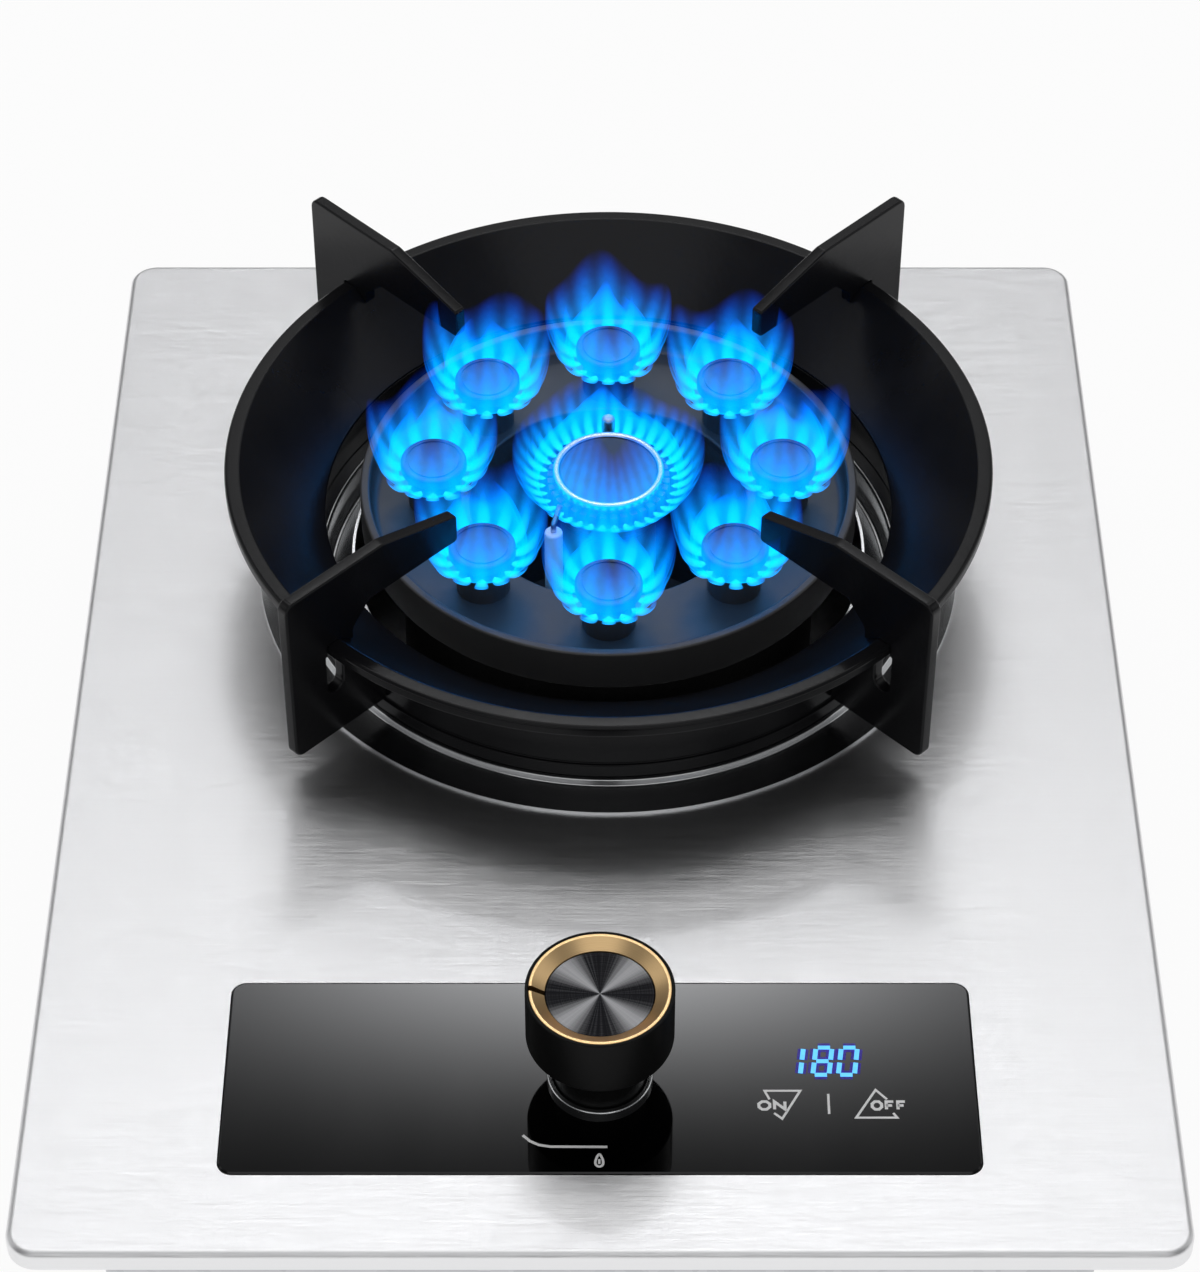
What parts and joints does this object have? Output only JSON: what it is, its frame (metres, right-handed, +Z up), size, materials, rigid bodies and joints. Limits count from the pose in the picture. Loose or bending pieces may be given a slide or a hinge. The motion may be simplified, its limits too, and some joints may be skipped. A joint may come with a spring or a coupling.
{
  "type": "portable gas stove",
  "caption": "Single-burner gas stove: brushed steel top, black wind shield with pan fins, ring of capped flame cups, turn-and-push knob on a black glass panel, box case on feet.",
  "frame": {"origin": "on the table under the middle of the top panel", "axes": "+X to the right, +Y to the back (the knob is at -Y), +Z up"},
  "size_m": [0.32, 0.415, 0.149],
  "materials": {
    "brushed_steel": "brushed along the width",
    "polished_steel": "polished",
    "black_enamel": "glossy vitreous enamel",
    "burner_black": "satin black",
    "base_casting": "as cast",
    "black_glass": "black tempered glass, polished",
    "knob_black": "fine satin",
    "gilt_trim": "satin gilt",
    "spun_disc": "spun, dark anodised",
    "zinc_sheet": "zinc coated",
    "rubber": "matt",
    "foam": "closed-cell foam",
    "black_plastic": "moulded",
    "circuit_board": "solder mask",
    "cast_aluminium": "die cast",
    "brass": "turned",
    "ceramic": "glazed white",
    "spring_steel": "drawn wire",
    "bare_steel": "bare",
    "battery_sleeve": "plain dark sleeve",
    "red_silicone": "silicone",
    "copper": "drawn copper"
  },
  "bodies": {
    "stove": {"top_panel": "brushed_steel", "panel_seal": "foam", "bottom_case": "zinc_sheet", "rubber_feet": "rubber", "corner_brackets": "zinc_sheet", "machine_screws": "bare_steel", "control_glass": "black_glass", "control_carrier": "black_plastic", "display_block": "black_plastic", "timer_board": "circuit_board", "knob_base_ring": "polished_steel", "valve_body": "cast_aluminium", "valve_cover": "zinc_sheet", "valve_bracket": "zinc_sheet", "safety_magnet": "brass", "micro_switch": "black_plastic", "inlet_fitting": "brass", "inlet_pipe": "cast_aluminium", "injectors": "brass", "mixing_tube_inner": "cast_aluminium", "mixing_tube_outer": "cast_aluminium", "burner_base": "base_casting", "burner_strap": "zinc_sheet", "burner_dish": "burner_black", "burner_cups": "burner_black", "centre_head": "burner_black", "electrode_ceramic": "ceramic", "electrode_needle": "bare_steel", "flame_sensor": "bare_steel", "pulse_igniter": "black_plastic", "battery_box": "black_plastic", "battery": "battery_sleeve", "ignition_lead": "red_silicone", "sensor_lead": "copper"},
    "valve_plug": {"valve_plug": "brass", "return_spring": "spring_steel"},
    "knob": {"knob_body": "knob_black", "knob_bevel_ring": "gilt_trim", "knob_disc": "spun_disc", "valve_stem": "brass"},
    "drip_tray": {"drip_tray": "polished_steel"},
    "pan_support": {"wind_shield": "black_enamel", "shield_skirt": "black_enamel", "pan_fin_1": "black_enamel", "pan_fin_2": "black_enamel", "pan_fin_3": "black_enamel", "pan_fin_4": "black_enamel"},
    "centre_cap": {"centre_cap": "burner_black", "centre_cap_ring": "polished_steel"},
    "battery_door": {"battery_door": "black_plastic"},
    "air_shutter_inner": {"air_shutter_inner": "bare_steel"},
    "air_shutter_outer": {"air_shutter_outer": "bare_steel"},
    "flame_cap_1": {"flame_cap_1": "burner_black"},
    "flame_cap_2": {"flame_cap_2": "burner_black"},
    "flame_cap_3": {"flame_cap_3": "burner_black"},
    "flame_cap_4": {"flame_cap_4": "burner_black"},
    "flame_cap_5": {"flame_cap_5": "burner_black"},
    "flame_cap_6": {"flame_cap_6": "burner_black"},
    "flame_cap_7": {"flame_cap_7": "burner_black"},
    "flame_cap_8": {"flame_cap_8": "burner_black"}
  },
  "joints": [
    {"name": "knob_turn", "type": "hinge", "parent": "stove", "child": "valve_plug", "pos_m": [0, -0.1468, 0.04], "axis": [0, 0, 1], "range_deg": [-90, 90]},
    {"name": "knob_push", "type": "slide", "parent": "valve_plug", "child": "knob", "axis": [0, 0, -1], "range_m": [0, 0.003], "stiffness_N_per_m": 1500, "springref_m": -0.004, "deforming": ["return_spring"]},
    {"name": "drip_tray_lift", "type": "slide", "parent": "stove", "child": "drip_tray", "axis": [0, 0, 1], "range_m": [0, 0.06]},
    {"name": "pan_support_lift", "type": "slide", "parent": "drip_tray", "child": "pan_support", "axis": [0, 0, 1], "range_m": [0, 0.08]},
    {"name": "centre_cap_lift", "type": "slide", "parent": "stove", "child": "centre_cap", "axis": [0, 0, 1], "range_m": [0, 0.06]},
    {"name": "battery_door_hinge", "type": "hinge", "parent": "stove", "child": "battery_door", "pos_m": [0.1416, -0.109, 0.012], "axis": [0, 1, 0], "range_deg": [0, 100]},
    {"name": "inner_air_turn", "type": "hinge", "parent": "stove", "child": "air_shutter_inner", "pos_m": [0.0026, -0.0918, 0.046], "axis": [0, 1, 0], "range_deg": [-30, 30]},
    {"name": "outer_air_turn", "type": "hinge", "parent": "stove", "child": "air_shutter_outer", "pos_m": [-0.0314, -0.0918, 0.046], "axis": [0, 1, 0], "range_deg": [-30, 30]},
    {"name": "flame_cap_1_lift", "type": "slide", "parent": "stove", "child": "flame_cap_1", "axis": [0, 0, 1], "range_m": [0, 0.04]},
    {"name": "flame_cap_2_lift", "type": "slide", "parent": "stove", "child": "flame_cap_2", "axis": [0, 0, 1], "range_m": [0, 0.04]},
    {"name": "flame_cap_3_lift", "type": "slide", "parent": "stove", "child": "flame_cap_3", "axis": [0, 0, 1], "range_m": [0, 0.04]},
    {"name": "flame_cap_4_lift", "type": "slide", "parent": "stove", "child": "flame_cap_4", "axis": [0, 0, 1], "range_m": [0, 0.04]},
    {"name": "flame_cap_5_lift", "type": "slide", "parent": "stove", "child": "flame_cap_5", "axis": [0, 0, 1], "range_m": [0, 0.04]},
    {"name": "flame_cap_6_lift", "type": "slide", "parent": "stove", "child": "flame_cap_6", "axis": [0, 0, 1], "range_m": [0, 0.04]},
    {"name": "flame_cap_7_lift", "type": "slide", "parent": "stove", "child": "flame_cap_7", "axis": [0, 0, 1], "range_m": [0, 0.04]},
    {"name": "flame_cap_8_lift", "type": "slide", "parent": "stove", "child": "flame_cap_8", "axis": [0, 0, 1], "range_m": [0, 0.04]}
  ]
}
